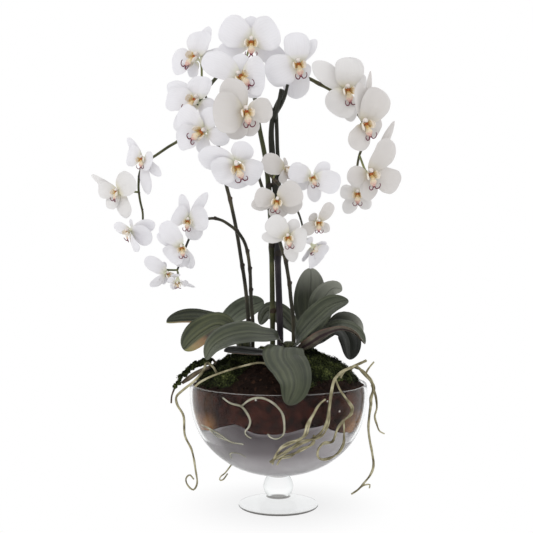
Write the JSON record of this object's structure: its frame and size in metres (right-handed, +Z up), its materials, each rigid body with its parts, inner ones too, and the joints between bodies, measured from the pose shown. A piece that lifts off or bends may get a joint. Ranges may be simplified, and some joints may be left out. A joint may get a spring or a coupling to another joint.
{
  "type": "moth orchid in glass vase",
  "caption": "Moth orchid with arching spikes of white blooms, dark strap leaves, moss and loose air roots, set in a footed clear glass bowl of soil and clouded resin",
  "frame": {"origin": "centre of the foot's flat underside", "axes": "+Z up along the vase's axis, -Y towards the camera (front), +X to the camera's right"},
  "size_m": [0.4481, 0.2683, 0.706],
  "materials": {
    "clear_glass": "clear blown glass, polished",
    "setting_resin": "clouded clear setting resin, grey and murky",
    "potting_soil": "dark red-brown bark and coir soil, crumbly",
    "moss": "dark green cushion moss, dull",
    "crown": "green-brown leaf bases, dull",
    "dark_stem": "black-violet flower stem, slightly glossy",
    "olive_stem": "olive green flower stem, slightly glossy",
    "leaf": "dark olive green leathery leaf, satin",
    "air_root": "pale cream-olive root skin, dull",
    "petal": "white petal with a faint cool sheen, yellow and crimson lip"
  },
  "bodies": {
    "root": {"vase_glass": "clear_glass", "resin_water": "setting_resin", "potting_soil": "potting_soil", "moss_cover": "moss", "crown_left": "crown", "crown_front": "crown", "crown_right": "crown", "spike_left": "dark_stem", "spike_left_bent": "dark_stem", "spike_olive": "olive_stem", "spike_black": "dark_stem", "spike_centre": "dark_stem", "leaf_left_upper": "leaf", "leaf_left_lower": "leaf", "leaf_left_back": "leaf", "leaf_front_left": "leaf", "leaf_front_thin": "leaf", "leaf_front_drooping": "leaf", "leaf_right_tall": "leaf", "leaf_right_broad": "leaf", "leaf_right_front": "leaf", "leaf_right_folded": "leaf", "leaf_right_hanging": "leaf", "leaf_right_back": "leaf", "leaf_centre_back": "leaf", "root_left_hanging": "air_root", "root_left_edge": "air_root", "root_front_left": "air_root", "root_bunch_right": "air_root", "root_right_hanging": "air_root", "root_back_hanging": "air_root", "root_inner_front": "air_root", "root_inner_left": "air_root", "bloom_top": "petal", "bloom_top_left": "petal", "bloom_top_middle": "petal", "bloom_left_outer": "petal", "bloom_middle": "petal", "bloom_left_low": "petal", "bloom_low_front": "petal", "bloom_top_right": "petal", "bloom_right_first": "petal", "bloom_right_second": "petal", "bloom_right_third": "petal", "bloom_right_behind": "petal", "bloom_far_left_top": "petal", "bloom_far_left": "petal", "bloom_far_left_low": "petal", "bloom_second_top": "petal", "bloom_second_middle": "petal", "bloom_second_low": "petal", "bloom_second_last": "petal", "bloom_centre_top": "petal", "bloom_centre_right": "petal", "bloom_centre_front": "petal", "bloom_centre_low": "petal", "bloom_centre_side": "petal", "bloom_centre_last": "petal"}
  },
  "joints": []
}
